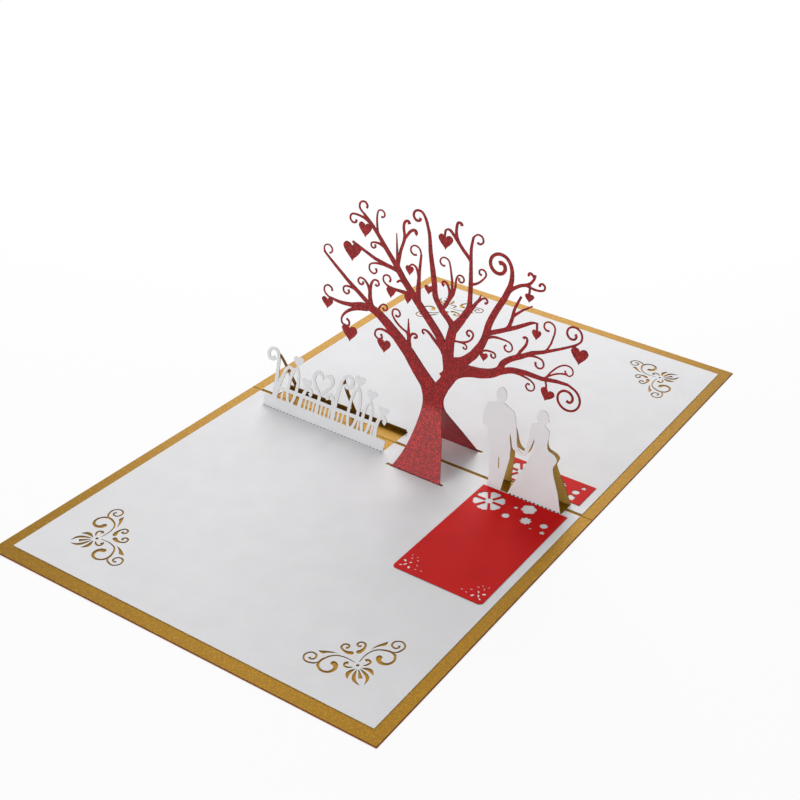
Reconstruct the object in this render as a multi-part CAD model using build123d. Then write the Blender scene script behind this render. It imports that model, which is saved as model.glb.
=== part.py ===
"""Pop up card, open flat: a scrolling tree, a couple and a scroll strip rise from two pages.

Millimetres. X runs along the spine, +Y to the back page, +Z up, and the origin is the middle
of the spine on the underside of the cover.
"""

import os
from math import acos, atan2, cos, degrees, dist, hypot, pi, radians, sin, tan

from build123d import *

# The card: one page, and the card weights
page_length = 180.0
page_depth = 150.0
cover_card = 0.35
gold_card = 0.3
liner_card = 0.3
tree_card = 0.3
panel_card = 0.25
gold_inset = 0.3
spine_score = 0.8
spine_score_depth = 0.15

# The white pages: margins of gold round them and a gap at the spine
side_margin = 5.5
fore_margin = 6.3
spine_gap = 1.8

# Glue tabs, which lie on the cover in windows of the gold sheet
tab_depth = 8.0
tab_clearance = 0.4

# The tree: slots, feet, and the bend where its two sheets come together
slot_out = 15.4
slot_left = -2.3
slot_right = 26.7
slot_width = 1.0
foot_left = 0.0
foot_right = 25.1
waist_left = 4.7
waist_right = 15.7
bend_height = 27.0
bend_radius = 14.0
waist_straight = 1.3
waist_lap = 0.6

# The scroll strip: its fold, its distance from the page's left end, its bands, the height where its legs meet
strip_out = 9.1
strip_in = 14.2
strip_length = 67.0
strip_band = 4.8
strip_rear_band = 2.0
strip_meet = 23.0
scroll_stroke = 1.7

# The couple: its fold, its distance from the page's right end, its feet, the height where its legs meet
couple_out = 4.2
couple_in = 12.6
couple_length = 36.2
couple_meet = 30.0
groom_left = 0.5
groom_right = 6.9
bride_left = 10.3
bride_right = 36.0
notch_clearance = 0.4
touch = 0.05

# The red panels: their distance from the page's right end, and their sizes
panel_in = 9.2
panel_width = 40.5
panel_gap = 0.4
message_end = 71.7
message_corner = 1.8
flower_end = 20.6
petal_core = 1.9
petal_reach = 7.0
rear_shift = (-0.7, -2.8)

# The corner ornaments: distance of the centre dot from the end and the fore edge of the card
ornament_in = 27.7
ornament_fore = 27.1

# How finely the drawn lines are divided
long_span = 8.0
curl_chord = 0.28
curl_step = 62.0
curl_ease = 1.6
heart_points = 12
oval_points = 10
lobe_points = 3

cover_top = cover_card
gold_top = cover_top + gold_card
liner_bottom = cover_top + max(tree_card, gold_card)
liner_top = liner_bottom + liner_card
half_length = page_length / 2
liner_half = half_length - side_margin
liner_fore = page_depth - fore_margin
half_gap = spine_gap / 2
bend_angle = atan2(slot_out, bend_height)
waist_height = bend_height + bend_radius * tan(bend_angle / 2) + waist_straight
strip_left = strip_in - half_length
strip_right = strip_left + strip_length
couple_right = half_length - couple_in
couple_left = couple_right - couple_length
panel_right = half_length - panel_in
panel_left = panel_right - panel_width


def between(p, q, r, s, t):
    """The value a share t of the way from q to r, eased by the neighbours p and s."""
    slope_q, slope_r = (r - p) / 2, (s - q) / 2
    bend = 3 * (r - q) - 2 * slope_q - slope_r
    twist = 2 * (q - r) + slope_q + slope_r
    return q + slope_q * t + bend * t**2 + twist * t**3


def smooth(knots, lead):
    """Points on a smooth line through the knots, which leaves the last one towards lead."""
    ends = [knots[0], *knots, lead]
    line = []
    for a, b, c, d in zip(ends, ends[1:], ends[2:], ends[3:]):
        for t in (0.0, 0.5) if dist(b, c) > long_span else (0.0,):
            line.append(tuple(between(*values, t) for values in zip(a, b, c, d)))
    return line + [knots[-1]]


def spiral(start, curl):
    """Points of a curl that winds from start towards its middle."""
    mid_x, mid_y, end_radius, sweep = curl
    first_radius = hypot(start[0] - mid_x, start[1] - mid_y)
    first_angle = degrees(atan2(start[1] - mid_y, start[0] - mid_x))
    step = min(degrees(2 * acos(1 - 2 * curl_chord / (first_radius + end_radius))), curl_step)
    count = round(abs(sweep) / step)
    points = []
    for k in range(1, count + 1):
        share = k / count
        radius = first_radius + (end_radius - first_radius) * share**curl_ease
        angle = radians(first_angle + sweep * share)
        points.append((mid_x + radius * cos(angle), mid_y + radius * sin(angle)))
    return points


def stroke(root_width, tip_width, knots, curl=None, bead=1.25, cap=0.0):
    """A tapering line along the knots, wound into a curl that thickens to its end; cap rounds both ends."""
    winding = spiral(knots[-1], curl) if curl else []
    stem = smooth(knots, winding[0] if winding else knots[-1])
    line = stem + winding
    left, right, ends = [], [], []
    for k, (x, y) in enumerate(line):
        before, after = line[max(k - 1, 0)], line[min(k + 1, len(line) - 1)]
        run_x, run_y = after[0] - before[0], after[1] - before[1]
        run = hypot(run_x, run_y)
        share = min(k / (len(stem) - 1), 1.0)
        half = (root_width + (tip_width - root_width) * share) / 2
        if k >= len(stem):
            half *= 1 + (bead - 1) * ((k + 1 - len(stem)) / len(winding)) ** 2
        left.append((x - run_y / run * half, y + run_x / run * half))
        right.append((x + run_y / run * half, y - run_x / run * half))
        if cap and k in (0, len(line) - 1):
            reach = cap * half / run if k else -cap * half / run
            ends.append((x + run_x * reach, y + run_y * reach))
    return make_face(Polyline(*ends[:1], *left, *ends[1:], *reversed(right), close=True))


def heart(x, y, width, height, turn=0.0):
    """A solid heart round its middle."""
    outline = []
    for k in range(heart_points):
        t = 2 * pi * k / heart_points
        across = sin(t) ** 3 / 2
        up = (13 * cos(t) - 5 * cos(2 * t) - 2 * cos(3 * t) - cos(4 * t) + 2.5) / 29
        outline.append((across * width, up * height))
    return Pos(x, y) * Rot(0, 0, turn) * make_face(Polyline(*outline, close=True))


def oval(x, y, width, height):
    """A solid oval round its middle."""
    outline = []
    for k in range(oval_points):
        angle = 2 * pi * k / oval_points
        outline.append((x + width / 2 * sin(angle), y + height / 2 * cos(angle)))
    return make_face(Polyline(*outline, close=True))


def blossom(x, y, radius, lobes, depth):
    """A flower cut-out with round lobes and a notch between each two."""
    count = lobes * lobe_points
    outline = []
    for k in range(count):
        angle = 2 * pi * k / count
        reach = radius * (1 - depth * (1 + cos(lobes * angle)) / 2)
        outline.append((x + reach * cos(angle), y + reach * sin(angle)))
    return make_face(Polyline(*outline, close=True))


def box(x_low, x_high, y_low, y_high, z_low, z_high):
    """A block between two corners."""
    size = (x_high - x_low, y_high - y_low, z_high - z_low)
    middle = ((x_high + x_low) / 2, (y_high + y_low) / 2, (z_high + z_low) / 2)
    return Pos(*middle) * Box(*size)


def leaning(drawing, out, meet, thickness):
    """A drawing stood up on the front page, leaning back to the spine at the meeting height."""
    plane = Plane(origin=(0, -out, liner_top), x_dir=(1, 0, 0), z_dir=(0, -meet, out))
    return extrude(plane * drawing, thickness)


def rear(shape):
    """The same shape on the back page."""
    return mirror(shape, about=Plane.XZ)


def tab_fold(out, meet):
    """Distance from the spine at which a leaning leg reaches the cover."""
    return out * (1 + (liner_top - cover_top) / meet)


def tab_window(left, right, fold):
    """The window of the gold sheet round a glue tab on the front page."""
    fore, spine = -fold - tab_depth - tab_clearance, -fold + tab_clearance
    return box(left - tab_clearance, right + tab_clearance, fore, spine, cover_top, gold_top)


def rear_leg(drawing, feet, out, meet):
    """A gold copy of a drawing up to the meeting height, with feet and a glue tab on the back page."""
    slant = hypot(out, meet)
    sunk = (liner_top - cover_top) * slant / meet
    foot_height = sunk + liner_card
    reach = slant - touch
    leg = (drawing & Pos(0, reach / 2) * Rectangle(page_length, reach)).faces().sort_by(SortBy.AREA)[-1]
    for left, right in feet:
        leg += Pos((left + right) / 2, foot_height / 2 - sunk) * Rectangle(right - left, foot_height)
    leg = leaning(leg, out, meet, gold_card)
    fold = tab_fold(out, meet)
    for left, right in feet:
        leg += box(left, right, -fold - tab_depth, -fold, cover_top, cover_top + gold_card)
    return rear(leg)


# Corner ornament, drawn for the front right corner about its centre dot and mirrored on the diagonal
arm = [
    stroke(
        0.3, 0.9, [(-1.7, 0.6), (-6.0, 1.0), (-10.2, -0.4), (-12.2, -4.8)],
        (-8.2, -5.7, 2.0, 275), bead=2.6, cap=0.7,
    ),
    stroke(0.6, 0.8, [(-12.0, -6.3), (-13.4, -7.9)], (-15.9, -5.6, 0.6, -450)),
    stroke(0.3, 0.9, [(-0.9, -1.6), (-2.0, -2.7)], (-3.2, -1.6, 0.8, -215), bead=1.8),
    stroke(2.0, 0.9, [(-5.2, 3.9), (-6.8, 3.2), (-8.6, 3.2)], (-8.9, 5.3, 0.6, -330), cap=0.6),
    make_face(Polyline((-9.3, 1.1), (-12.4, 0.4), (-15.9, -1.7), (-13.6, -2.4), (-12.5, -0.8), close=True)),
    make_face(
        Polyline(
            (0.9, -1.5), (1.0, -3.6), (1.6, -5.6), (2.6, -7.0), (4.2, -7.6), (6.6, -7.6),
            (4.2, -6.6), (2.9, -5.3), (1.9, -3.4), close=True,
        )
    ),
    make_face(
        Polyline((0.4, -1.6), (-0.9, -3.3), (-1.3, -5.0), (-0.6, -6.4), (1.1, -7.5), (0.3, -5.0), close=True)
    ),
]
diagonal = Plane((0, 0, 0), z_dir=(1, 1, 0))
ornament = Sketch() + arm + [mirror(piece, about=diagonal) for piece in arm]
ornament += oval(0, 0, 1.3, 1.3)
ornament += stroke(0.3, 1.6, [(1.6, -1.6), (3.2, -3.2), (4.7, -4.7)])
ornament_x = half_length - ornament_in
ornament_y = ornament_fore - page_depth
ornament_right = extrude(Pos(ornament_x, ornament_y, liner_bottom) * ornament, liner_card)
ornament_pair = Part() + [ornament_right, mirror(ornament_right, about=Plane.YZ)]


def band(height):
    """The plain band of the strip, from the underside of the page to a height above it."""
    whole = height + liner_card
    return Pos(strip_length / 2, height - whole / 2) * Rectangle(strip_length, whole)


# Scroll strip: a plain band with loops, curls and an open heart standing on it
# What stands right of the heart is drawn from the strip's right end, and the rest from its left end
left_tall = stroke(2.2, scroll_stroke, [(5.3, 1.0), (4.4, 14.0), (3.2, 23.5)], (-0.2, 23.4, 1.7, 330))
right_tall = stroke(
    2.2, scroll_stroke, [(-28.8, 1.0), (-29.1, 14.0), (-28.4, 23.2)], (-25.0, 23.2, 1.7, -330)
)
tall_scrolls = [left_tall, Pos(strip_length) * right_tall]
left_scrolls = [
    stroke(2.2, scroll_stroke, [(5.4, 3.5), (6.5, 12.0), (8.2, 19.0)], (10.6, 18.6, 1.4, -235)),
    stroke(2.2, scroll_stroke, [(19.2, 3.5), (19.8, 9.0), (21.2, 13.4)], (22.9, 12.6, 1.2, -220)),
    stroke(2.0, scroll_stroke, [(29.0, 3.5), (29.0, 13.0)]),
]
right_scrolls = [
    stroke(2.2, scroll_stroke, [(-28.9, 3.5), (-29.7, 10.0), (-31.2, 14.6)], (-32.8, 13.8, 1.1, 215)),
    stroke(2.2, scroll_stroke, [(-5.8, 3.5), (-6.4, 9.0), (-5.6, 13.2)], (-3.8, 12.7, 1.2, -220)),
]
open_heart = heart(29.0, 18.0, 13.0, 13.0) - heart(29.0, 18.2, 9.0, 8.6)
strip_drawing = band(strip_band) + tall_scrolls + left_scrolls + open_heart
strip_drawing += [Pos(strip_length) * scroll for scroll in right_scrolls]
loops = ((14.0, 6.6, 19.0), (strip_length - 19.2, 7.0, 20.5), (strip_length - 11.8, 6.0, 16.5))
for loop_x, loop_width, loop_height in loops:
    ring = oval(0, 0, loop_width, loop_height)
    ring -= oval(0, 0, loop_width - 2 * scroll_stroke, loop_height - 2 * scroll_stroke)
    strip_drawing += Pos(loop_x, strip_band + loop_height / 2 - scroll_stroke) * ring
strip_drawing = Pos(strip_left) * strip_drawing
strip_rear = Pos(strip_left) * (band(strip_rear_band) + tall_scrolls)

# Bride and groom, hand in hand, cut as one silhouette and drawn from the left end of its fold
groom = make_face(
    Polyline(
        (groom_left, -liner_card), (groom_left, 8.0), (-0.8, 18.0), (-1.8, 18.2), (-2.6, 26.2), (-5.2, 26.8),
        (-6.1, 28.6), (-5.1, 36.4), (-4.2, 37.4), (-2.1, 38.2), (0.4, 39.7), (3.1, 39.6), (5.3, 38.4),
        (8.0, 37.3), (8.9, 36.1), (10.7, 28.6), (11.8, 22.0), (14.7, 20.2), (13.9, 19.3), (11.3, 20.3),
        (9.7, 20.9), (8.5, 25.4), (7.6, 27.4), (7.9, 25.2), (8.9, 21.0), (9.2, 16.0), (7.6, 4.5),
        (groom_right, -liner_card), close=True,
    )
)
groom += oval(1.4, 42.6, 5.2, 7.0)
groom -= make_face(Polyline((3.9, 15.0), (4.3, 15.0), (5.0, 10.0), (4.4, 10.0), close=True))
bride = make_face(
    Polyline(
        (bride_left, -liner_card), (11.8, 4.0), (16.3, 14.0), (18.8, 22.0), (19.5, 27.0),
        (19.0, 28.8), (18.4, 26.0), (16.9, 20.6), (15.5, 19.3), (13.9, 19.3), (14.5, 20.4),
        (15.5, 22.0), (16.6, 29.0), (16.6, 34.3),
        (17.5, 35.1), (19.9, 36.0), (22.5, 36.2), (24.7, 34.8), (25.7, 33.4), (25.0, 28.5), (25.9, 25.7),
        (27.9, 25.3), (29.9, 24.4), (30.8, 22.8), (30.1, 21.0), (28.9, 18.5), (33.3, 8.5),
        (bride_right, -liner_card), close=True,
    )
)
bride += oval(21.4, 39.1, 5.4, 6.8)
bride += oval(23.5, 38.4, 2.2, 2.2)
couple_drawing = Pos(couple_left) * (groom + bride)

# Tree crown, drawn in the plane over the spine from the waist up: limbs, boughs, and twigs that end in curls
limbs = [
    make_face(
        Polyline(
            (waist_left, -waist_lap), (waist_right, -waist_lap), (waist_right, 0),
            (17.6, 4.5), (20.6, 9.5), (20.5, 15.0), (19.5, 21.5), (14.0, 21.5), (15.0, 14.0), (13.6, 9.5),
            (11.0, 6.0), (6.0, 6.5), (waist_left - 1.0, 3.0), (waist_left, 0), close=True,
        )
    ),
    stroke(8.0, 5.4, [(9.0, 2.5), (2.6, 9.4), (-2.7, 16.0), (-8.0, 21.2)]),
    stroke(5.6, 3.4, [(-6.5, 19.8), (-13.4, 25.9), (-18.4, 29.6), (-23.0, 31.2)]),
    stroke(4.2, 3.4, [(15.8, 21.5), (12.0, 29.2), (7.5, 34.2), (2.5, 39.5)]),
    stroke(3.4, 2.6, [(3.0, 39.0), (-2.0, 44.5), (-6.0, 49.2), (-10.0, 55.0)]),
    stroke(5.0, 3.6, [(17.0, 19.5), (17.5, 28.0), (19.2, 36.0)]),
    stroke(4.4, 2.4, [(19.0, 34.4), (22.5, 39.3), (26.0, 45.5)]),
    stroke(7.0, 3.4, [(15.6, 9.0), (21.3, 15.0), (26.8, 17.3), (32.5, 18.2), (38.0, 19.9), (42.4, 23.0)]),
    stroke(5.0, 2.8, [(18.0, 18.0), (24.5, 20.6), (29.0, 25.5), (32.4, 31.0), (34.5, 36.0)]),
    stroke(3.0, 2.4, [(34.2, 35.2), (35.4, 42.0), (38.6, 49.0), (42.0, 55.5), (44.2, 61.0)]),
]
boughs = [
    stroke(3.2, 1.0, [(-21.0, 30.6), (-27.0, 30.9), (-32.0, 29.3), (-38.0, 28.5), (-44.2, 29.3)]),
    stroke(2.3, 0.8, [(-22.5, 32.0), (-28.0, 36.0), (-34.0, 40.2), (-40.0, 45.0), (-46.2, 50.2)]),
    stroke(2.4, 1.5, [(-21.8, 31.0), (-22.6, 36.0), (-22.5, 39.4)]),
    stroke(2.4, 1.2, [(-9.4, 54.2), (-14.0, 59.7), (-18.0, 64.8), (-22.0, 69.3), (-25.6, 72.6)]),
    stroke(2.9, 2.4, [(18.6, 36.0), (13.6, 40.6), (9.8, 45.8), (9.2, 52.0), (8.2, 58.0)]),
    stroke(2.4, 1.1, [(8.4, 57.0), (7.0, 65.0), (6.2, 73.0), (4.4, 78.6)]),
    stroke(2.4, 1.0, [(25.0, 42.5), (26.3, 48.0), (26.3, 56.0), (26.0, 65.0), (25.7, 72.0), (26.6, 77.0)]),
    stroke(2.6, 0.9, [(1.6, 40.0), (1.6, 47.0), (1.9, 55.0), (2.6, 62.5)]),
    stroke(3.2, 1.5, [(41.6, 21.6), (42.9, 26.6), (46.5, 29.8), (51.5, 32.6), (56.0, 35.6), (61.5, 37.9)]),
    stroke(3.0, 1.2, [(41.5, 22.2), (47.5, 25.0), (54.0, 25.8), (61.0, 25.7), (68.0, 26.8), (73.0, 27.0)]),
]
twigs = [
    stroke(1.0, 0.8, [(-42.0, 28.9), (-44.2, 29.3)], (-43.9, 32.6, 1.6, -265)),
    stroke(2.2, 0.9, [(-24.0, 29.9), (-30.5, 28.2), (-35.0, 25.2), (-37.7, 21.6)], (-35.2, 20.4, 1.4, 285)),
    stroke(0.8, 0.7, [(-44.6, 48.9), (-46.2, 50.2)], (-43.8, 51.6, 1.6, -290)),
    stroke(1.3, 0.9, [(-27.5, 35.3), (-30.5, 37.2), (-33.8, 37.6)], (-34.6, 35.3, 1.0, 330)),
    stroke(1.4, 0.9, [(-22.5, 38.0), (-23.6, 41.2), (-25.6, 43.4)], (-27.0, 41.7, 0.9, 330)),
    stroke(1.4, 0.9, [(-22.5, 38.5), (-22.0, 42.3), (-20.6, 44.7)], (-19.4, 43.1, 0.7, -270)),
    stroke(1.1, 0.8, [(-18.6, 30.0), (-17.6, 32.8), (-16.2, 34.6)], (-15.1, 33.1, 0.8, -300)),
    stroke(1.5, 0.9, [(-9.5, 20.2), (-13.0, 22.3), (-16.8, 22.8), (-19.6, 21.4)], (-17.8, 19.4, 1.3, 270)),
    stroke(2.4, 0.3, [(-2.4, 19.0), (-2.8, 25.5), (-3.0, 32.0)]),
    stroke(1.3, 1.0, [(-2.6, 23.4), (-1.0, 25.5), (0.4, 26.0)], (0.5, 24.8, 0.6, -240)),
    stroke(1.0, 0.8, [(-2.8, 25.2), (-6.0, 26.2), (-9.2, 28.4), (-11.3, 31.2)], (-8.9, 32.4, 1.2, -330)),
    stroke(1.2, 0.9, [(-24.4, 71.5), (-25.6, 72.6)], (-25.2, 75.9, 1.0, -290)),
    stroke(1.4, 0.9, [(-20.5, 68.2), (-25.5, 71.0), (-29.2, 71.4)], (-30.5, 69.0, 1.1, 300)),
    stroke(1.0, 0.7, [(-18.8, 66.0), (-19.2, 71.0), (-19.1, 74.3)], (-16.9, 74.7, 1.2, -290)),
    stroke(1.5, 0.8, [(-14.2, 60.4), (-17.8, 61.7), (-20.4, 61.6)], (-20.8, 60.0, 0.9, 330)),
    stroke(1.9, 1.1, [(-7.6, 52.0), (-14.0, 53.1), (-20.0, 54.3), (-26.0, 56.6), (-31.5, 58.8)]),
    stroke(1.3, 0.8, [(-11.0, 52.4), (-16.0, 52.8), (-20.0, 52.4)], (-20.6, 49.3, 1.1, 320)),
    stroke(2.2, 0.8, [(0.5, 42.8), (-5.0, 43.4), (-10.0, 43.3), (-13.8, 43.8)], (-13.6, 46.7, 1.2, -310)),
    stroke(1.0, 1.0, [(-4.0, 46.6), (-6.0, 48.3), (-8.0, 47.9), (-9.0, 46.8)]),
    stroke(2.2, 1.5, [(-8.0, 51.0), (-8.8, 56.5)]),
    stroke(1.4, 0.3, [(-8.9, 55.0), (-9.2, 62.0), (-9.5, 68.6)]),
    stroke(1.7, 1.1, [(-8.6, 55.5), (-7.4, 61.6), (-5.2, 68.0)]),
    stroke(1.1, 1.3, [(-5.3, 67.3), (-6.3, 72.5), (-5.5, 75.0)], (-4.3, 74.2, 0.9, -150)),
    stroke(1.1, 1.4, [(-5.3, 67.6), (-3.0, 71.2), (-1.3, 72.3)], (-0.8, 71.2, 0.6, -180)),
    stroke(0.9, 0.7, [(2.4, 60.0), (2.6, 62.5)], (-0.4, 63.2, 1.5, 315)),
    stroke(1.0, 0.8, [(1.6, 52.6), (0.3, 56.6), (-1.8, 57.3), (-3.2, 55.6)]),
    stroke(1.2, 1.1, [(5.2, 76.6), (4.4, 78.6)], (0.9, 78.4, 1.0, 345)),
    stroke(1.5, 2.0, [(13.0, 40.6), (15.4, 44.8), (17.9, 49.8)]),
    stroke(1.2, 1.0, [(16.6, 47.0), (16.5, 51.2), (15.2, 53.8)], (14.0, 53.0, 0.7, 230)),
    stroke(1.3, 0.7, [(17.8, 49.0), (17.6, 55.5), (16.6, 61.2)], (13.6, 62.2, 1.2, 310)),
    stroke(1.2, 0.8, [(18.2, 49.2), (19.3, 53.5), (19.4, 57.0)], (21.6, 57.3, 0.8, -400)),
    stroke(1.0, 0.8, [(26.3, 75.0), (26.6, 77.0)], (29.2, 76.4, 1.5, -290)),
    stroke(1.6, 0.9, [(26.0, 66.8), (22.5, 70.0), (18.6, 74.2), (15.6, 77.4), (13.6, 76.6), (13.4, 73.0)]),
    stroke(1.2, 1.2, [(20.0, 72.4), (18.6, 76.5), (18.8, 79.8)], (20.2, 80.2, 0.9, -200)),
    stroke(1.2, 0.8, [(26.2, 56.4), (29.6, 58.0), (32.3, 60.8)], (31.2, 62.9, 0.9, 330)),
    stroke(2.4, 0.4, [(24.4, 41.6), (28.0, 47.3), (30.4, 51.0), (31.4, 53.6)]),
    stroke(1.0, 0.9, [(29.4, 49.2), (31.8, 52.0)], (33.3, 51.2, 0.7, -260)),
    stroke(0.9, 0.9, [(18.4, 28.9), (23.0, 29.4), (26.3, 30.7), (28.4, 33.0)], (26.8, 34.5, 0.9, 330)),
    stroke(0.7, 0.7, [(22.2, 29.4), (25.0, 29.2)], (24.7, 27.8, 0.6, -250)),
    stroke(1.8, 0.9, [(13.9, 23.2), (10.0, 26.3), (7.4, 28.8), (5.3, 29.6)], (5.0, 28.3, 0.7, 200)),
    stroke(1.5, 0.9, [(60.5, 37.5), (68.0, 41.4), (74.6, 45.2)], (73.3, 49.4, 0.9, 470)),
    stroke(1.5, 1.0, [(48.8, 30.4), (50.6, 34.4), (52.9, 37.8), (53.5, 40.0)], (52.4, 40.6, 0.8, 200)),
    stroke(1.1, 0.8, [(54.2, 34.0), (58.0, 34.6)], (59.2, 31.8, 1.4, -310)),
    stroke(0.9, 0.7, [(61.8, 37.8), (64.0, 42.5), (65.2, 47.2)], (62.4, 48.9, 1.3, 320)),
    stroke(1.2, 1.0, [(70.5, 27.0), (73.0, 27.0)], (73.2, 20.6, 0.9, -560)),
    stroke(1.0, 0.7, [(46.0, 24.2), (51.5, 24.1), (56.0, 23.4)], (55.8, 20.4, 0.8, -370)),
    stroke(0.8, 0.8, [(62.8, 25.8), (63.4, 23.5), (63.6, 20.5)]),
    stroke(0.9, 0.6, [(62.4, 25.6), (64.8, 29.8), (68.2, 33.9), (71.6, 35.6)], (72.4, 32.8, 1.2, -290)),
    stroke(0.7, 0.7, [(63.6, 27.6), (67.5, 30.3), (72.2, 31.7)]),
    stroke(2.2, 0.9, [(35.2, 37.6), (41.0, 40.6), (48.0, 44.4), (55.0, 48.8), (57.2, 49.2), (57.4, 45.4)]),
    stroke(1.7, 1.0, [(44.4, 42.2), (46.0, 47.6), (46.8, 52.4), (49.4, 58.4)]),
    stroke(1.3, 0.6, [(46.4, 49.0), (50.5, 52.8), (54.6, 55.8)]),
    stroke(1.4, 0.7, [(34.5, 35.3), (38.5, 37.2), (43.5, 37.2)], (44.6, 34.4, 0.9, -350)),
    stroke(0.9, 0.8, [(31.2, 27.8), (35.0, 29.8), (37.5, 30.0)], (38.2, 28.5, 0.8, -330)),
    stroke(1.6, 1.0, [(44.2, 59.6), (48.5, 62.9), (52.5, 64.4), (54.4, 67.0), (54.9, 69.2)]),
    stroke(0.9, 1.0, [(54.6, 68.0), (53.0, 69.4)], (52.6, 68.6, 0.6, 180)),
    stroke(1.0, 0.9, [(51.0, 63.7), (55.5, 63.0), (57.8, 63.3)], (57.9, 65.2, 0.8, 290)),
    stroke(0.9, 1.0, [(52.9, 64.0), (52.8, 59.5)]),
    stroke(2.4, 1.5, [(44.0, 60.0), (44.9, 65.0), (44.4, 69.6)], (39.0, 68.5, 1.0, 460)),
]
hearts = [
    heart(-33.3, 15.2, 8.7, 8.0),
    heart(-15.2, 15.0, 7.4, 6.8),
    heart(-45.0, 26.3, 6.4, 5.6),
    heart(-31.7, 54.2, 9.7, 8.8),
    heart(-25.0, 65.8, 7.0, 6.8),
    heart(-12.0, 41.2, 4.8, 5.0),
    heart(-3.5, 40.8, 3.8, 4.4),
    heart(-2.9, 54.0, 4.3, 4.4),
    heart(6.6, 48.2, 4.6, 4.2),
    heart(13.9, 71.4, 7.4, 6.6),
    heart(57.3, 44.1, 4.5, 4.6),
    heart(76.7, 41.1, 8.2, 7.6),
    heart(64.0, 19.2, 7.0, 6.0, -14.0),
    heart(34.0, 26.4, 4.2, 4.2),
    heart(53.0, 58.8, 4.4, 3.8),
]
crown_front = Sketch() + limbs + boughs + twigs + hearts
crown_back = Sketch() + limbs

# Flowers cut from the red panels, by distance from the panel's left end and from the spine
petal_flower = Sketch() + oval(0, 0, 2 * petal_core, 2 * petal_core)
petal_half = [(0.9, 0.0), (petal_core, 0.5), (5.8, 2.6), (petal_reach, 1.1)]
petal_mirror = [(x, -y) for x, y in reversed(petal_half[1:])]
petal = make_face(Polyline(*petal_half, (petal_reach - 0.4, 0.0), *petal_mirror, close=True))
petal_flower += [Rot(0, 0, 30 + 60 * k) * petal for k in range(6)]
small_flowers = Sketch() + [
    blossom(27.5, 16.8, 2.8, 8, 0.3),
    oval(18.9, 18.4, 3.5, 3.5),
    oval(35.4, 15.7, 3.5, 3.5),
    blossom(37.0, 20.0, 1.4, 5, 0.4),
]
message_flowers = small_flowers + [
    Pos(8.0, 13.6) * petal_flower,
    blossom(24.7, 9.3, 3.6, 6, 0.2),
    blossom(19.6, 11.2, 1.1, 5, 0.3),
    oval(31.6, 20.2, 1.5, 1.0),
]
rear_flowers = Pos(*rear_shift) * small_flowers + [
    Pos(8.0, 12.9) * petal_flower,
    blossom(34.5, 8.4, 2.4, 5, 0.3),
]


def bent_line(shift):
    """Side view of one face of a tree sheet: up from the fold, then bent upright over the spine."""
    return FilletPolyline(
        (-slot_out - shift, 0), (-shift, bend_height), (-shift, waist_height), radius=bend_radius
    )


def flank(waist, foot, shares):
    """Points up one side of the trunk; each share is of the foot's spread and of the waist's height."""
    middle = [(waist + (foot - waist) * across, waist_height * up) for across, up in shares]
    return [(foot, 0), *middle, (waist, waist_height)]


def tree_sheet(crown):
    """The front tree sheet, from its glue tab through the slot and the bent trunk to the crown."""
    profile = make_face(
        bent_line(0).edges()
        + [
            Line((0, waist_height), (-tree_card, waist_height)),
            Line((-slot_out, 0), (-slot_out - tree_card, 0)),
        ]
        + bent_line(tree_card).edges()
    )
    bent = extrude(Plane.YZ.offset(-half_length) * profile, page_length)
    right_flank = flank(waist_right, foot_right, [(0.68, 0.27), (0.33, 0.54), (0.0, 0.81)])
    left_flank = flank(waist_left, foot_left, [(0.19, 0.27), (-0.15, 0.54), (-0.21, 0.75)])
    trunk = make_face(
        Line(left_flank[0], right_flank[0])
        + Spline(*right_flank)
        + Line(right_flank[-1], left_flank[-1])
        + Spline(*reversed(left_flank))
    )
    sheet = bent & extrude(Plane.XZ * trunk, slot_out + 2 * tree_card)
    sheet += extrude(Plane.XZ * Pos(0, waist_height) * crown, tree_card)
    sheet += box(foot_left, foot_right, -slot_out - tab_depth, -slot_out, 0, tree_card)
    return Pos(0, 0, cover_top) * sheet


def save(shape, name):
    """Write one node."""
    export_step(shape, os.path.join("parts", name + ".step"))


os.makedirs("parts", exist_ok=True)

# Outer cover, and the gold sheet on it with a score along the spine and windows for the glue tabs
save(box(-half_length, half_length, -page_depth, page_depth, 0, cover_top), "outer_cover")
gold_half = half_length - gold_inset
gold_depth = page_depth - gold_inset
gold_sheet = box(-gold_half, gold_half, -gold_depth, gold_depth, cover_top, gold_top)
score = make_face(
    Polyline(
        (-spine_score / 2, gold_top),
        (0, gold_top - spine_score_depth),
        (spine_score / 2, gold_top),
        close=True,
    )
)
gold_sheet -= extrude(Plane.YZ.offset(-half_length) * score, page_length)
couple_feet = [
    (couple_left + groom_left, couple_left + groom_right),
    (couple_left + bride_left, couple_left + bride_right),
]
tree_window = tab_window(foot_left, foot_right, slot_out)
gold_sheet -= [tree_window, rear(tree_window)]
gold_sheet -= rear(tab_window(strip_left, strip_right, tab_fold(strip_out, strip_meet)))
for left, right in couple_feet:
    gold_sheet -= rear(tab_window(left, right, tab_fold(couple_out, couple_meet)))
save(gold_sheet, "gold_sheet")

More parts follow.
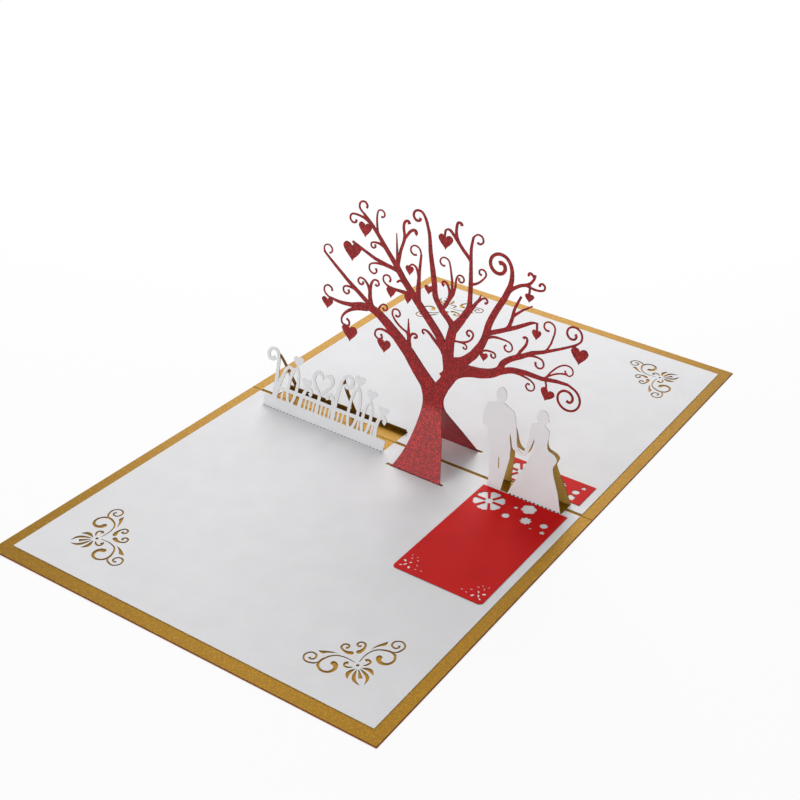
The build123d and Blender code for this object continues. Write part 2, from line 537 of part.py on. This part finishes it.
# White pages with their cut-outs; the strip and the couple stay joined to the front page
front_liner = box(-liner_half, liner_half, -liner_fore, -half_gap, liner_bottom, liner_top)
front_liner -= [
    ornament_pair,
    box(slot_left, slot_right, -slot_out - slot_width, -slot_out + slot_width / 2, liner_bottom, liner_top),
]
back_liner = rear(front_liner)
front_liner -= box(strip_left, strip_right, -strip_out, 0, liner_bottom, liner_top)
front_liner -= box(couple_left, couple_right, -couple_out, 0, liner_bottom, liner_top)
front_liner += leaning(strip_drawing, strip_out, strip_meet, liner_card)
front_liner += leaning(couple_drawing, couple_out, couple_meet, liner_card)
save(front_liner, "front_liner")
strip_notch = strip_out + gold_card + notch_clearance
couple_notch = couple_out + gold_card + notch_clearance
back_liner -= box(strip_left, strip_right, 0, strip_notch, liner_bottom, liner_top)
back_liner -= box(couple_left, couple_right, 0, couple_notch, liner_bottom, liner_top)
save(back_liner, "back_liner")

# Gold rear legs: the same drawings, leaning forward to meet the white ones, with a tab under the back page
save(rear_leg(strip_rear, [(strip_left, strip_right)], strip_out, strip_meet), "scroll_support")
save(rear_leg(couple_drawing, couple_feet, couple_out, couple_meet), "couple_support")

# Tree: two sheets back to back over the spine, each on its own leg
save(tree_sheet(crown_front), "tree_front")
save(rear(tree_sheet(crown_back)), "tree_back")

# Red panels glued on the pages
panel_middle = (panel_left + panel_right) / 2
message_start = couple_out + liner_card + panel_gap
message_depth = message_end - message_start
message = Pos(panel_middle, -(message_start + message_end) / 2) * Rectangle(panel_width, message_depth)
message = fillet(message.vertices().group_by(Axis.Y)[0], message_corner)
message -= mirror(Pos(panel_left) * message_flowers, about=Plane.XZ)
save(extrude(Pos(0, 0, liner_top) * message, panel_card), "message_panel")
flower_start = couple_notch + panel_gap
flower_middle = (flower_start + flower_end) / 2
flowers = Pos(panel_middle, flower_middle) * Rectangle(panel_width, flower_end - flower_start)
flowers -= Pos(panel_left) * rear_flowers
save(extrude(Pos(0, 0, liner_top) * flowers, panel_card), "flower_panel")
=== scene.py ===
import math
from collections import Counter

import bmesh
import bpy
from mathutils import Matrix, Vector


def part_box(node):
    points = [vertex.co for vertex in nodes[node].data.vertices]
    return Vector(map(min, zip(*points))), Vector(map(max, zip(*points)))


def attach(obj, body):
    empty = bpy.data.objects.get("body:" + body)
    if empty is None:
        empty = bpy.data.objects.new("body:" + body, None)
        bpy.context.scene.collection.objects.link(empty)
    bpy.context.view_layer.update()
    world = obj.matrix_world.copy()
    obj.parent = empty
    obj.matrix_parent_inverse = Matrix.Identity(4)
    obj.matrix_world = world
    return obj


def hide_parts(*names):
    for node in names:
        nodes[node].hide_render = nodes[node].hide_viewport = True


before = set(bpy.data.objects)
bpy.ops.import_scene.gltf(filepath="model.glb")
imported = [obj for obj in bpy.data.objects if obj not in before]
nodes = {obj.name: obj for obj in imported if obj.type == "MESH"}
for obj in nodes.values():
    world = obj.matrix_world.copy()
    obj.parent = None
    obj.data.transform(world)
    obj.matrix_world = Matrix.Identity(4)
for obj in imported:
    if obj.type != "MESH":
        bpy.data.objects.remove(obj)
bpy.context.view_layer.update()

# Outer cover: one sheet of maroon card, creased across the middle, that carries all the rest.
# It lies face down, so only its cut edge shows, a pale rose line where the core of the card is bare.
mm = 0.001
maroon = (0.17, 0.022, 0.026, 1)
bare_core = (0.66, 0.42, 0.37, 1)
tooth_depth, tooth_strength = 0.03 * mm, 0.5


def wire(tree, source, output, target, socket):
    """Join an output of one shader node to an input of another."""
    tree.links.new(source.outputs[output], target.inputs[socket])


def noise(tree, scale, detail=2.0):
    """Noise in the object's own metres; scale counts its waves in a metre."""
    place = tree.nodes.new("ShaderNodeTexCoord")
    cloud = tree.nodes.new("ShaderNodeTexNoise")
    cloud.inputs["Scale"].default_value = scale
    cloud.inputs["Detail"].default_value = detail
    wire(tree, place, "Object", cloud, "Vector")
    return cloud


def stretch(tree, source, output, low, high):
    """Spread a value between low and high over the whole range from 0 to 1."""
    span = tree.nodes.new("ShaderNodeMapRange")
    span.inputs["From Min"].default_value = low
    span.inputs["From Max"].default_value = high
    wire(tree, source, output, span, "Value")
    return span


def card_grain_group():
    """Uncoated card: a slow mottle in the pulp and the fine tooth of its fibres."""
    group = bpy.data.node_groups.new("card_grain", "ShaderNodeTree")
    group.interface.new_socket("Mottle", in_out="OUTPUT", socket_type="NodeSocketFloat")
    group.interface.new_socket("Tooth", in_out="OUTPUT", socket_type="NodeSocketFloat")
    end = group.nodes.new("NodeGroupOutput")
    mottle = stretch(group, noise(group, 90.0, 5.0), "Fac", 0.3, 0.7)
    wire(group, mottle, "Result", end, "Mottle")
    wire(group, noise(group, 2600.0, 3.0), "Fac", end, "Tooth")
    return group


card_grain = card_grain_group()


def new_material(name):
    """An empty node material with its shader: the material, its tree and the shader."""
    material = bpy.data.materials.new(name)
    material.use_nodes = True
    return material, material.node_tree, material.node_tree.nodes["Principled BSDF"]


def place_group(tree, group):
    """Put a shared effect into a material."""
    node = tree.nodes.new("ShaderNodeGroup")
    node.node_tree = group
    return node


def blend_colours(tree, dark, light, source, output):
    """Colour that goes from dark to light with a mask."""
    mix = tree.nodes.new("ShaderNodeMix")
    mix.data_type = "RGBA"
    mix.inputs["A"].default_value = dark
    mix.inputs["B"].default_value = light
    wire(tree, source, output, mix, "Factor")
    return mix


def raise_bump(tree, shader, source, output, depth, strength):
    """Let a height mask stand out of the surface by depth."""
    bump = tree.nodes.new("ShaderNodeBump")
    bump.inputs["Distance"].default_value = depth
    bump.inputs["Strength"].default_value = strength
    wire(tree, source, output, bump, "Height")
    wire(tree, bump, "Normal", shader, "Normal")
    return bump


def shade(colour, factor):
    """The same colour, lighter or darker."""
    return tuple(min(c * factor, 1.0) for c in colour[:3]) + (1,)


def card_material(name, colour, roughness, contrast=0.06, gloss=0.3):
    """Plain card in one colour, with its mottle and tooth."""
    material, tree, shader = new_material(name)
    grain = place_group(tree, card_grain)
    mix = blend_colours(tree, shade(colour, 1 - contrast), shade(colour, 1 + contrast), grain, "Mottle")
    wire(tree, mix, "Result", shader, "Base Color")
    shader.inputs["Roughness"].default_value = roughness
    shader.inputs["Specular IOR Level"].default_value = gloss
    raise_bump(tree, shader, grain, "Tooth", tooth_depth, tooth_strength)
    return material


def finish_node(node, material):
    """Give a CAD sheet its finish."""
    nodes[node].data.materials.clear()
    nodes[node].data.materials.append(material)


def cover_material():
    """Maroon card, dyed on its two sides only: its mottle and tooth, and the bare core along its cut edge."""
    material, tree, shader = new_material("maroon_card")
    grain = place_group(tree, card_grain)
    dyed = blend_colours(tree, shade(maroon, 0.94), shade(maroon, 1.06), grain, "Mottle")
    facing = tree.nodes.new("ShaderNodeNewGeometry")
    parts = tree.nodes.new("ShaderNodeSeparateXYZ")
    wire(tree, facing, "Normal", parts, "Vector")
    lying = tree.nodes.new("ShaderNodeMath")
    lying.operation = "ABSOLUTE"
    wire(tree, parts, "Z", lying, 0)
    mix = blend_colours(tree, bare_core, maroon, lying, "Value")
    wire(tree, dyed, "Result", mix, "B")
    wire(tree, mix, "Result", shader, "Base Color")
    shader.inputs["Roughness"].default_value = 0.6
    shader.inputs["Specular IOR Level"].default_value = 0.3
    raise_bump(tree, shader, grain, "Tooth", tooth_depth, tooth_strength)
    return material


finish_node("outer_cover", cover_material())

# Gold sheet: pearl gold card glued over the inside of the cover, with a score along the spine.
# It shows as the frame round the white pages and through every cut-out in them.
gold = (0.23, 0.117, 0.006, 1)
pearl_depth, pearl_strength = 0.05 * mm, 0.4


def pearl_speck_and_glint_group():
    """Pearl pigment: tiny plates at slightly different angles, a speckle that also paints their glints."""
    group = bpy.data.node_groups.new("pearl_speck_and_glint", "ShaderNodeTree")
    group.interface.new_socket("Plates", in_out="INPUT", socket_type="NodeSocketFloat")
    group.interface.new_socket("Fleck", in_out="OUTPUT", socket_type="NodeSocketFloat")
    group.interface.new_socket("Grain", in_out="OUTPUT", socket_type="NodeSocketFloat")
    start = group.nodes.new("NodeGroupInput")
    end = group.nodes.new("NodeGroupOutput")
    place = group.nodes.new("ShaderNodeTexCoord")
    plates = group.nodes.new("ShaderNodeTexVoronoi")
    wire(group, start, "Plates", plates, "Scale")
    wire(group, place, "Object", plates, "Vector")
    level = group.nodes.new("ShaderNodeRGBToBW")
    wire(group, plates, "Color", level, "Color")
    fleck = stretch(group, level, "Val", 0.45, 0.9)
    wire(group, fleck, "Result", end, "Fleck")
    wire(group, noise(group, 1500.0, 4.0), "Fac", end, "Grain")
    return group


pearl_speck_and_glint = pearl_speck_and_glint_group()


def pearl_material(name, colour, plates, contrast, metallic, roughness, gloss):
    """Pearl card: many dull pigment plates and some bright ones, so many in a metre: painted glints."""
    material, tree, shader = new_material(name)
    fleck = place_group(tree, pearl_speck_and_glint)
    fleck.inputs["Plates"].default_value = plates
    # Speckle and painted glints: the bright plates are a lighter base colour, not light falling on them.
    dull, bright = shade(colour, 1 - contrast / 2), shade(colour, 1 + 1.5 * contrast)
    mix = blend_colours(tree, dull, bright, fleck, "Fleck")
    wire(tree, mix, "Result", shader, "Base Color")
    shader.inputs["Roughness"].default_value = roughness
    shader.inputs["Metallic"].default_value = metallic
    shader.inputs["Specular IOR Level"].default_value = gloss
    raise_bump(tree, shader, fleck, "Grain", pearl_depth, pearl_strength)
    return material


gold_card = pearl_material(
    "pearl_gold_card", gold, plates=2300.0, contrast=0.2, metallic=0.5, roughness=0.5, gloss=0.1
)
finish_node("gold_sheet", gold_card)

# White pages: two sheets of matt white card glued on the gold, cut through with corner ornaments.
# The scroll strip and the couple are cut from the front page itself and folded up out of it.
page_white = (0.77, 0.77, 0.785, 1)
singed = (0.30, 0.22, 0.14, 1)
page_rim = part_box("back_liner")[1]
page_top = page_rim.z
least_turn, most_turn = math.radians(12), math.radians(75)
plane_play, weld_gap = 0.004 * mm, 0.002 * mm
least_faces = 12
flat_turn, sharp_turn = math.radians(1), math.radians(35)
corner_share, corner_steps = 40, 3
broad_side = 0.7


def sheet_planes(bm, is_face):
    """Broad planes of a sheet as (normal, offset), and the plane number of each face in them."""
    planes, member = [], {}
    for face in bm.faces:
        if not is_face(face):
            continue
        offset = face.normal.dot(face.verts[0].co)
        for number, (normal, level) in enumerate(planes):
            if normal.dot(face.normal) > 0.9999 and abs(level - offset) < plane_play:
                member[face] = number
                break
        else:
            member[face] = len(planes)
            planes.append((face.normal.copy(), offset))
    sizes = Counter(member.values())
    return planes, {face: number for face, number in member.items() if sizes[number] >= least_faces}


def edge_key(edge, number):
    """Name of an edge by its middle and the plane that it is looked at in."""
    middle = (edge.verts[0].co + edge.verts[1].co) / 2
    return (number,) + tuple(round(c / mm, 3) for c in middle)


def lies_in(edge, plane):
    """True if both ends of an edge are in a plane."""
    normal, level = plane
    return all(abs(normal.dot(v.co) - level) < plane_play for v in edge.verts)


def open_sides(bm, planes, member):
    """Take the broad sides out of a sheet, leave the rest, and name the edges that no side reaches."""
    seams, strangers = [], set()
    for edge in bm.edges:
        sides = {member.get(face, -1) for face in edge.link_faces}
        if len(sides) == 1 and sides != {-1}:
            seams.append(edge)
        for number in set(member.values()) - sides:
            if lies_in(edge, planes[number]):
                strangers.add(edge_key(edge, number))
    bmesh.ops.delete(bm, geom=list(member), context="FACES_ONLY")
    for edge in seams:
        bm.edges.remove(edge)
    return strangers


def round_outline(bm, keep_points):
    """Turn the small corners of the cut edge into flowing curves; points of card may stay sharp."""
    corners = []
    for edge in bm.edges:
        if len(edge.link_faces) == 2 and least_turn < edge.calc_face_angle(0) < most_turn:
            if keep_points and edge.is_convex:
                continue
            if all(len(v.link_edges) == 3 for v in edge.verts):
                corners.append(edge)
    bmesh.ops.bevel(
        bm, geom=corners, offset=corner_share, offset_type="PERCENT", segments=corner_steps, profile=0.5,
        affect="EDGES", clamp_overlap=True,
    )


def close_sides(bm, planes, numbers, strangers):
    """Fill each broad side again, up to the flowing outline."""
    for number in numbers:
        rim = []
        for edge in bm.edges:
            if len(edge.link_faces) < 2 and lies_in(edge, planes[number]):
                if edge_key(edge, number) not in strangers:
                    rim.append(edge)
        bmesh.ops.triangle_fill(bm, use_beauty=True, edges=rim, normal=planes[number][0])


def cut_sheet(node, finish, edge_finish, is_face, bent=False, keep_points=False):
    """A cut sheet with flowing outlines: face finish on its sides, edge finish where it was cut."""
    bm = bmesh.new()
    bm.from_mesh(nodes[node].data)
    bmesh.ops.remove_doubles(bm, verts=bm.verts, dist=weld_gap)
    bm.normal_update()
    planes, member = sheet_planes(bm, is_face)
    numbers = sorted(set(member.values()))
    strangers = open_sides(bm, planes, member)
    bmesh.ops.dissolve_limit(bm, angle_limit=flat_turn, edges=bm.edges)
    round_outline(bm, keep_points)
    close_sides(bm, planes, numbers, strangers)
    bmesh.ops.recalc_face_normals(bm, faces=bm.faces)
    for face in bm.faces:
        face.material_index = 0 if is_face(face) else 1
        face.smooth = bent or not is_face(face)
    mesh = bpy.data.meshes.new(node + "_sheet")
    bm.to_mesh(mesh)
    bm.free()
    if "custom_normal" in mesh.attributes:
        mesh.attributes.remove(mesh.attributes["custom_normal"])
    mesh.set_sharp_from_angle(angle=sharp_turn)
    mesh.materials.append(finish)
    mesh.materials.append(edge_finish)
    piece = bpy.data.objects.new(node + "_sheet", mesh)
    bpy.context.scene.collection.objects.link(piece)
    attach(piece, "root")
    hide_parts(node)
    return piece


def page_face(face):
    """True on the broad sides and clean outer rim of a page, and of what stands folded up from it."""
    middle = face.calc_center_median()
    if abs(middle.x) > page_rim.x - plane_play or abs(middle.y) > page_rim.y - plane_play:
        return True
    lying = middle.z < page_top + 0.01 * mm
    return abs(face.normal.z if lying else face.normal.y) > broad_side


white_card = card_material("white_card", page_white, roughness=0.75, contrast=0.02)
singed_edge = card_material("singed_edge", singed, roughness=0.8, contrast=0.3)
for page in ("front_liner", "back_liner"):
    cut_sheet(page, white_card, singed_edge, page_face)

# Fold perforations: a row of short knife cuts along each fold line, so that the card bends there cleanly.
# They are cut into the front page in front of the strip, and into the hem of the dress where it turns up.
# Each cut is drawn as a dark chip standing a little proud of the card: painted shade for the slit.
dash_length, dash_width, dash_pitch = 1.1 * mm, 0.32 * mm, 1.9 * mm
dash_depth, dash_proud = 0.05 * mm, 0.006 * mm
strip_front, hem_front = -9.44 * mm, -4.56 * mm
hem_length, hem_depth, hem_height = 25.2 * mm, 0.26 * mm, 0.28 * mm
cut_shadow = (0.10, 0.095, 0.09, 1)


def add_chip(bm, outline, low, high):
    """A flat chip with a given outline between two heights."""
    base = bm.faces.new([bm.verts.new((x, y, low)) for x, y in outline])
    top = bmesh.ops.extrude_face_region(bm, geom=[base])["geom"]
    for vert in (part for part in top if isinstance(part, bmesh.types.BMVert)):
        vert.co.z = high


def chip_piece(name, bm, material):
    """A piece made of flat chips of card."""
    bmesh.ops.recalc_face_normals(bm, faces=bm.faces)
    mesh = bpy.data.meshes.new(name)
    bm.to_mesh(mesh)
    bm.free()
    mesh.materials.append(material)
    piece = bpy.data.objects.new(name, mesh)
    bpy.context.scene.collection.objects.link(piece)
    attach(piece, "root")
    return piece


def perforation(name, left, right, low_y, high_y, top):
    """Dashes of painted slit shade along a fold, between two distances from the spine and up to a height."""
    bm = bmesh.new()
    count = int((right - left) / dash_pitch)
    for k in range(count):
        x = left + (right - left) * (k + 0.5) / count
        low_x, high_x = x - dash_length / 2, x + dash_length / 2
        outline = [(low_x, low_y), (high_x, low_y), (high_x, high_y), (low_x, high_y)]
        add_chip(bm, outline, page_top - dash_depth, top)
    chip_piece(name, bm, painted_slit_shade)


# Painted shade: the near-black colour of the slits.
painted_slit_shade = card_material("painted_slit_shade", cut_shadow, roughness=0.9, contrast=0.2)
strip_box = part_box("scroll_support")
couple_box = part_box("couple_support")
perforation(
    "strip_perforation", strip_box[0].x, strip_box[1].x,
    strip_front - dash_width, strip_front, page_top + dash_proud,
)
perforation(
    "couple_perforation", couple_box[1].x - hem_length, couple_box[1].x,
    hem_front, hem_front + hem_depth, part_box("message_panel")[1].z + hem_height,
)

# Strip fence: a rail on short bars across the scrolls of the strip, and small hearts on top of them.
# They are cut in one with the strip from the same white card, lean with it, and lie within its thickness.
strip_out, strip_meet = 9.1 * mm, 23.0 * mm
fence_low, fence_high = 0.02 * mm, 0.28 * mm
rail_low, rail_high, rail_left, rail_right = 9.2 * mm, 10.8 * mm, 4.6 * mm, 60.8 * mm
bar_low, bar_width = 4.6 * mm, 0.9 * mm
bar_places = (9.2, 22.3, 24.5, 26.7, 31.3, 33.5, 35.7, 40.6, 42.9, 51.6, 59.0)
finial_width, finial_points = 5.6 * mm, 24
finial_feet = [
    (14.0 * mm, 21.6 * mm), (20.7 * mm, 13.4 * mm), (47.8 * mm, 23.1 * mm),
    (55.2 * mm, 19.1 * mm), (62.8 * mm, 13.9 * mm),
]


def upright_box(left, right, low, high):
    """Outline of a straight bar or rail."""
    return [(left, low), (right, low), (right, high), (left, high)]


def heart_outline(foot_x, foot_y, width):
    """Outline of a heart that stands on its point."""
    outline = []
    for k in range(finial_points):
        angle = 2 * math.pi * k / finial_points
        swell = 13 * math.cos(angle) - 5 * math.cos(2 * angle) - 2 * math.cos(3 * angle) - math.cos(4 * angle)
        outline.append((foot_x - width / 2 * math.sin(angle) ** 3, foot_y + width / 32 * (swell + 17)))
    return outline


fence = bmesh.new()
add_chip(fence, upright_box(rail_left, rail_right, rail_low, rail_high), fence_low, fence_high)
for place in bar_places:
    bar_left = place * mm - bar_width / 2
    bar = upright_box(bar_left, bar_left + bar_width, bar_low, rail_low)
    add_chip(fence, bar, fence_low, fence_high)
for foot in finial_feet:
    add_chip(fence, heart_outline(*foot, finial_width), fence_low, fence_high)
slope = Vector((0, strip_out, strip_meet)).normalized()
along = Vector((1, 0, 0))
lean = Matrix((along, slope, along.cross(slope))).transposed().to_4x4()
strip_foot = Matrix.Translation((strip_box[0].x, -strip_out, page_top))
bmesh.ops.transform(fence, matrix=strip_foot @ lean, verts=fence.verts)
chip_piece("strip_fence", fence, white_card)

# Gold rear legs: copies of the strip and of the couple in gold card, glued under the back page.
# They lean forward against the white ones and hold them up. The couple's leg has painted light on its front.
# Painted light: the couple's leg is the same gold card, coloured lighter to light up its shaded front.
painted_lit_gold = (0.58, 0.36, 0.085, 1)
gold_edge = card_material("gold_cut_edge", shade(gold, 0.45), roughness=0.7, contrast=0.2)


def leg_face(face):
    """True on the broad sides of a standing leg."""
    return abs(face.normal.y) > broad_side or abs(face.normal.z) > 0.995


painted_lit_gold_card = pearl_material(
    "painted_lit_gold_card", painted_lit_gold, plates=2300.0, contrast=0.14, metallic=0.1, roughness=0.5, gloss=0.2
)
for leg, leg_card in (("scroll_support", gold_card), ("couple_support", painted_lit_gold_card)):
    cut_sheet(leg, leg_card, gold_edge, leg_face)

# Tree: two sheets of deep red pearl card, back to back over the spine, each on its own leg.
# The legs pass through slits in the white pages; the crown is one cut line of curls and hearts.
tree_red = (0.29, 0.012, 0.013, 1)


def tree_face(face):
    """True on the broad sides of a tree sheet, upright or leaning."""
    return abs(face.normal.y) > 0.5


# Its strong plate contrast paints the sparkle of the pearl's glints into the colour.
red_pearl = pearl_material(
    "red_pearl_card", tree_red, plates=2100.0, contrast=0.65, metallic=0.15, roughness=0.42, gloss=0.35
)
red_edge = card_material("red_cut_edge", shade(tree_red, 0.35), roughness=0.7, contrast=0.2)
for sheet in ("tree_front", "tree_back"):
    cut_sheet(sheet, red_pearl, red_edge, tree_face, bent=True)

# Red panels: bright red card glued on the pages beside the couple, with flowers cut out of it.
# The larger one is for a written message.
panel_red = (0.57, 0.004, 0.003, 1)


def panel_face(face):
    """True on the broad sides of a flat panel."""
    return abs(face.normal.z) > broad_side


red_card = card_material("red_card", panel_red, roughness=0.6, contrast=0.05, gloss=0.08)
panel_edge = card_material("red_panel_edge", shade(panel_red, 0.35), roughness=0.7, contrast=0.2)
for panel in ("message_panel", "flower_panel"):
    cut_sheet(panel, red_card, panel_edge, panel_face, keep_points=True)

# Corner sprays: tiny leaves cut through the message panel at its two outer corners.
# The white page shows through them; each spray is one set of cuts, mirrored in the panel's middle.
spray_leaves = [
    (2.3, 5.8, 1.5, 0.9, -30), (4.8, 5.9, 1.2, 0.6, 55), (3.6, 3.9, 1.7, 0.6, 60), (5.8, 3.0, 1.5, 0.9, -55),
    (2.3, 2.6, 1.1, 0.6, 30), (3.8, 8.4, 1.0, 0.26, 70), (2.8, 10.2, 0.9, 0.22, 80),
    (6.4, 8.3, 1.1, 0.24, -10), (7.9, 5.7, 1.1, 0.26, -20), (8.7, 3.3, 1.0, 0.26, 15),
    (11.0, 3.8, 1.1, 0.22, -10), (5.3, 9.8, 0.8, 0.2, 40),
]
leaf_points = 8
panel_low, panel_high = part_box("message_panel")


def leaf_outline(in_x, in_y, length, width, turn, side):
    """Outline of one leaf, by its distance in from the panel's corner; side is 1 at the left corner."""
    corner_x = panel_low.x if side > 0 else panel_high.x
    outline = []
    for k in range(leaf_points):
        angle = 2 * math.pi * k / leaf_points
        along, across = length / 2 * math.cos(angle), width / 2 * math.sin(angle)
        lean = math.radians(turn)
        x = in_x + along * math.cos(lean) - across * math.sin(lean)
        y = in_y + along * math.sin(lean) + across * math.cos(lean)
        outline.append((corner_x + side * x * mm, panel_low.y + y * mm))
    return outline[::side]


sprays = bmesh.new()
for leaf in spray_leaves:
    for side in (1, -1):
        add_chip(sprays, leaf_outline(*leaf, side), panel_high.z - dash_depth, panel_high.z + dash_proud)
chip_piece("corner_sprays", sprays, white_card)

# Studio: a sheet of white paper for a floor, which keeps the card's soft shadow.
# Even light comes from all round, and softboxes stand behind it and in front of it at both sides.
floor_size, floor_height = 6.0, -0.05 * mm
floor_white = (0.9, 0.9, 0.9, 1)
floor_glow = 0.88
shadow_reach, white_reach = 0.3, 0.9
surround_light = 0.3


def flat_square(name, size, height):
    """A square that lies level at a height."""
    mesh = bpy.data.meshes.new(name)
    half = size / 2
    corners = [(-half, -half, height), (half, -half, height), (half, half, height), (-half, half, height)]
    mesh.from_pydata(corners, [], [(0, 1, 2, 3)])
    square = bpy.data.objects.new(name, mesh)
    bpy.context.scene.collection.objects.link(square)
    return square


def seen_rays(tree):
    """1 for what is seen, directly, mirrored or through something clear, and 0 for light on the card."""
    path = tree.nodes.new("ShaderNodeLightPath")
    mirrored = tree.nodes.new("ShaderNodeMath")
    mirrored.operation = "MAXIMUM"
    wire(tree, path, "Is Glossy Ray", mirrored, 0)
    wire(tree, path, "Is Transmission Ray", mirrored, 1)
    seen = tree.nodes.new("ShaderNodeMath")
    seen.operation = "MAXIMUM"
    wire(tree, path, "Is Camera Ray", seen, 0)
    wire(tree, mirrored, "Value", seen, 1)
    return seen


def floor_material():
    """White paper floor: most of its brightness is its own where it is seen, and all of it further out."""
    material, tree, shader = new_material("paper_floor")
    shader.inputs["Base Color"].default_value = floor_white
    shader.inputs["Roughness"].default_value = 0.9
    shader.inputs["Specular IOR Level"].default_value = 0.0
    glow = tree.nodes.new("ShaderNodeEmission")
    glow.inputs["Strength"].default_value = 1.0
    amount = tree.nodes.new("ShaderNodeMath")
    amount.operation = "MULTIPLY"
    place = tree.nodes.new("ShaderNodeTexCoord")
    distance = tree.nodes.new("ShaderNodeVectorMath")
    distance.operation = "LENGTH"
    wire(tree, place, "Object", distance, 0)
    fade = stretch(tree, distance, "Value", shadow_reach, white_reach)
    fade.inputs["To Min"].default_value = floor_glow
    wire(tree, seen_rays(tree), "Value", amount, 0)
    wire(tree, fade, "Result", amount, 1)
    mix = tree.nodes.new("ShaderNodeMixShader")
    wire(tree, amount, "Value", mix, "Fac")
    tree.links.new(shader.outputs["BSDF"], mix.inputs[1])
    tree.links.new(glow.outputs["Emission"], mix.inputs[2])
    wire(tree, mix, "Shader", tree.nodes["Material Output"], "Surface")
    return material


floor = flat_square("paper_floor", floor_size, floor_height)
floor.data.materials.append(floor_material())


def softbox(name, place, target, size, power):
    """A square lamp turned to a point."""
    lamp = bpy.data.lights.new(name, "AREA")
    lamp.size = size
    lamp.energy = power
    holder = bpy.data.objects.new(name, lamp)
    holder.location = place
    holder.rotation_euler = (Vector(target) - Vector(place)).to_track_quat("-Z", "Y").to_euler()
    bpy.context.scene.collection.objects.link(holder)


softbox("rear_softbox", (-0.44, 0.66, 0.54), (0, 0.05, 0.03), 0.6, 8.0)
softbox("front_softbox", (-0.6, -1.1, 0.55), (0, 0, 0.03), 0.6, 4.5)
softbox("right_softbox", (0.8, -0.95, 0.5), (0, 0, 0.03), 0.6, 5.0)
world = bpy.data.worlds.new("studio")
bpy.context.scene.world = world
world.use_nodes = True
surround = world.node_tree.nodes["Background"]
surround.inputs["Color"].default_value = (1, 1, 1, 1)
strength = world.node_tree.nodes.new("ShaderNodeMapRange")
strength.inputs["To Min"].default_value = surround_light
wire(world.node_tree, seen_rays(world.node_tree), "Value", strength, "Value")
wire(world.node_tree, strength, "Result", surround, "Strength")

# Camera: stands to the right of the front page and looks down on the card from above its fore edge.
# It is rolled a little and shifted sideways, as the photograph's view is; lens and shift are in its pixels.
view_turn, view_height, view_roll = math.radians(28.306), math.radians(31.326), math.radians(4.26)
view_distance = 607.63 * mm
picture_width, focal_length, shift_right, shift_up = 800, 1295.578, -121.978, 2.838
aim = Vector((19.166 * mm, 62.915 * mm, 0.35 * mm))
back = Vector((
    math.sin(view_turn) * math.cos(view_height),
    -math.cos(view_turn) * math.cos(view_height),
    math.sin(view_height),
))
level = Vector((math.cos(view_turn), math.sin(view_turn), 0))
upward = back.cross(level)
right = level * math.cos(view_roll) + upward * math.sin(view_roll)
up = upward * math.cos(view_roll) - level * math.sin(view_roll)
camera_data = bpy.data.cameras.new("photo_camera")
camera_data.sensor_width = 36.0
camera_data.lens = focal_length / picture_width * camera_data.sensor_width
camera_data.shift_x = shift_right / picture_width
camera_data.shift_y = shift_up / picture_width
camera_data.clip_start = 0.01
camera = bpy.data.objects.new("photo_camera", camera_data)
turned = Matrix((right, up, back)).transposed().to_4x4()
camera.matrix_world = Matrix.Translation(aim + back * view_distance) @ turned
bpy.context.scene.collection.objects.link(camera)
bpy.context.scene.camera = camera
bpy.context.scene.view_settings.view_transform = "Standard"
